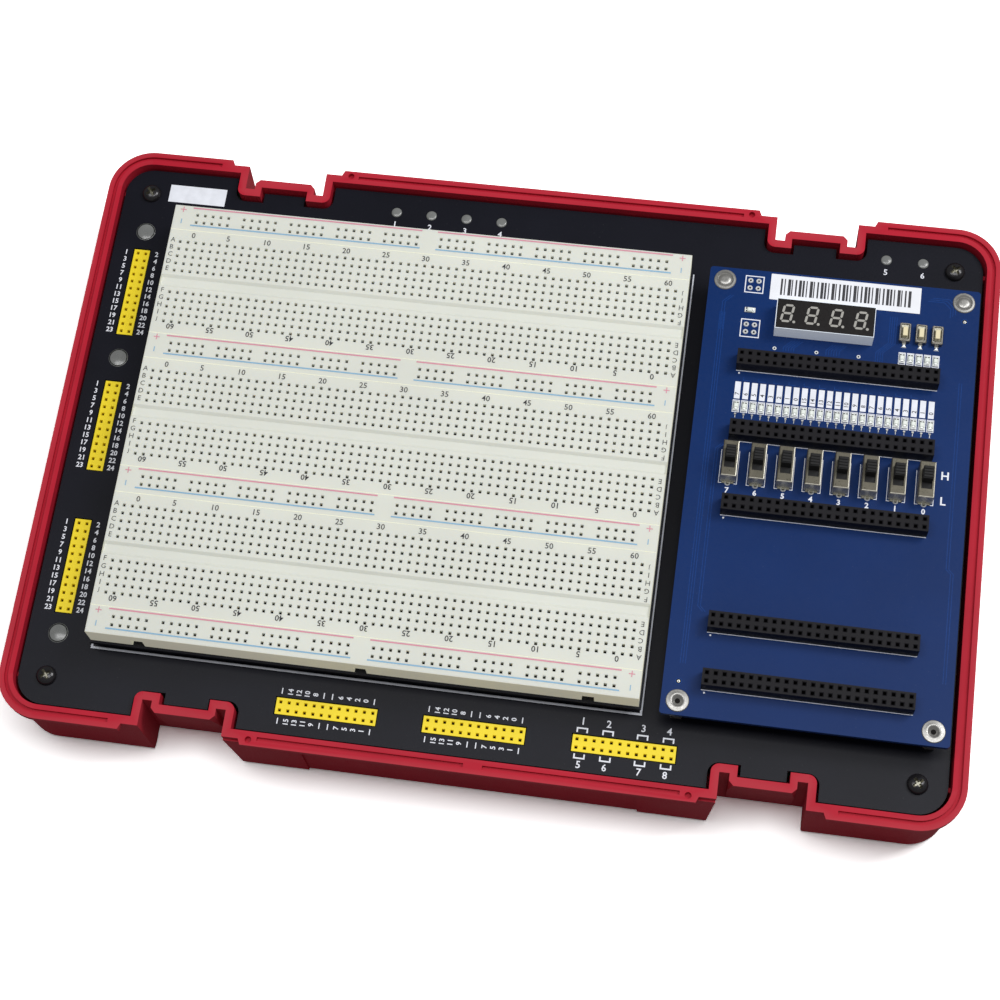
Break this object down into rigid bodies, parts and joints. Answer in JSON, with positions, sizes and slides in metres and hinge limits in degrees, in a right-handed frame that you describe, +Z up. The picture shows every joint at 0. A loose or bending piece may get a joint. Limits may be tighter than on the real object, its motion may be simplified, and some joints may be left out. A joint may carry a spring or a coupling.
{
  "type": "electronics training system",
  "caption": "Electronics training station: shallow red case tray with a black panel of socket headers, a large breadboard and a blue board of switches, buttons, lamps and a display.",
  "frame": {"origin": "centre of the flat base of the tray, at the level of the surface it stands on", "axes": "+X along the length, towards the switch board; +Y towards the rear wall with the inlets; +Z up"},
  "size_m": [0.2882, 0.1934, 0.0477],
  "materials": {
    "case": "satin moulded red plastic",
    "panel": "satin black sheet",
    "black_screw": "black oxide",
    "steel": "bright plated steel",
    "main_pcb": "solder mask",
    "carrier_pcb": "black solder mask",
    "blue_pcb": "blue solder mask",
    "breadboard_white": "matt white",
    "yellow_header": "matt yellow",
    "black_header": "matt black",
    "lens": "frosted",
    "post": "nickel plated",
    "display_case": "matt grey",
    "display_dark": "satin",
    "switch_base": "matt",
    "slider": "black",
    "button_case": "plated",
    "plunger": "cream",
    "lamp": "moulded lamp",
    "label": "paper",
    "connector_metal": "plated",
    "black_part": "matt black",
    "fuse": "glass tube with plated ends"
  },
  "bodies": {
    "station": {"analogue_header": "yellow_header", "blank_label": "label", "board_header_1": "black_header", "board_header_2": "black_header", "board_header_3": "black_header", "board_header_4": "black_header", "board_header_5": "black_header", "board_posts": "post", "breadboard_carrier": "carrier_pcb", "bus_strip_1": "breadboard_white", "bus_strip_2": "breadboard_white", "bus_strip_3": "breadboard_white", "bus_strip_4": "breadboard_white", "button_bodies": "button_case", "button_lamps": "lamp", "buzzer": "black_part", "carrier_spacers": "steel", "case_tray": "case", "control_header": "yellow_header", "display_face": "display_dark", "display_module": "display_case", "front_panel": "panel", "input_header": "yellow_header", "io_board": "blue_pcb", "lamp_lenses": "lens", "level_lamps": "lamp", "link_connectors": "black_header", "main_board": "main_pcb", "main_board_screws": "steel", "meter_fuses": "fuse", "meter_header": "yellow_header", "output_header": "yellow_header", "panel_lamps": "lamp", "panel_screws": "black_screw", "power_jack": "black_part", "power_lamp": "lamp", "processor": "black_part", "round_windows": "lens", "supply_converters": "black_part", "supply_header": "yellow_header", "switch_bases": "switch_base", "switch_shells": "steel", "terminal_strip_1": "breadboard_white", "terminal_strip_2": "breadboard_white", "terminal_strip_3": "breadboard_white", "usb_socket": "connector_metal"},
    "plunger_0_body": {"plunger_0": "plunger"},
    "plunger_1_body": {"plunger_1": "plunger"},
    "plunger_2_body": {"plunger_2": "plunger"},
    "slider_0_body": {"slider_0": "slider"},
    "slider_1_body": {"slider_1": "slider"},
    "slider_2_body": {"slider_2": "slider"},
    "slider_3_body": {"slider_3": "slider"},
    "slider_4_body": {"slider_4": "slider"},
    "slider_5_body": {"slider_5": "slider"},
    "slider_6_body": {"slider_6": "slider"},
    "slider_7_body": {"slider_7": "slider"}
  },
  "joints": [
    {"name": "button_0_press", "type": "slide", "parent": "station", "child": "plunger_0_body", "axis": [0, 0, -1], "range_m": [0, 0.00025], "stiffness_N_per_m": 4000},
    {"name": "button_1_press", "type": "slide", "parent": "station", "child": "plunger_1_body", "axis": [0, 0, -1], "range_m": [0, 0.00025], "stiffness_N_per_m": 4000},
    {"name": "button_2_press", "type": "slide", "parent": "station", "child": "plunger_2_body", "axis": [0, 0, -1], "range_m": [0, 0.00025], "stiffness_N_per_m": 4000},
    {"name": "switch_0_slide", "type": "slide", "parent": "station", "child": "slider_0_body", "axis": [0, -1, 0], "range_m": [0, 0.002]},
    {"name": "switch_1_slide", "type": "slide", "parent": "station", "child": "slider_1_body", "axis": [0, -1, 0], "range_m": [0, 0.002]},
    {"name": "switch_2_slide", "type": "slide", "parent": "station", "child": "slider_2_body", "axis": [0, -1, 0], "range_m": [0, 0.002]},
    {"name": "switch_3_slide", "type": "slide", "parent": "station", "child": "slider_3_body", "axis": [0, -1, 0], "range_m": [0, 0.002]},
    {"name": "switch_4_slide", "type": "slide", "parent": "station", "child": "slider_4_body", "axis": [0, -1, 0], "range_m": [0, 0.002]},
    {"name": "switch_5_slide", "type": "slide", "parent": "station", "child": "slider_5_body", "axis": [0, -1, 0], "range_m": [0, 0.002]},
    {"name": "switch_6_slide", "type": "slide", "parent": "station", "child": "slider_6_body", "axis": [0, -1, 0], "range_m": [0, 0.002]},
    {"name": "switch_7_slide", "type": "slide", "parent": "station", "child": "slider_7_body", "axis": [0, -1, 0], "range_m": [0, 0.002]}
  ]
}
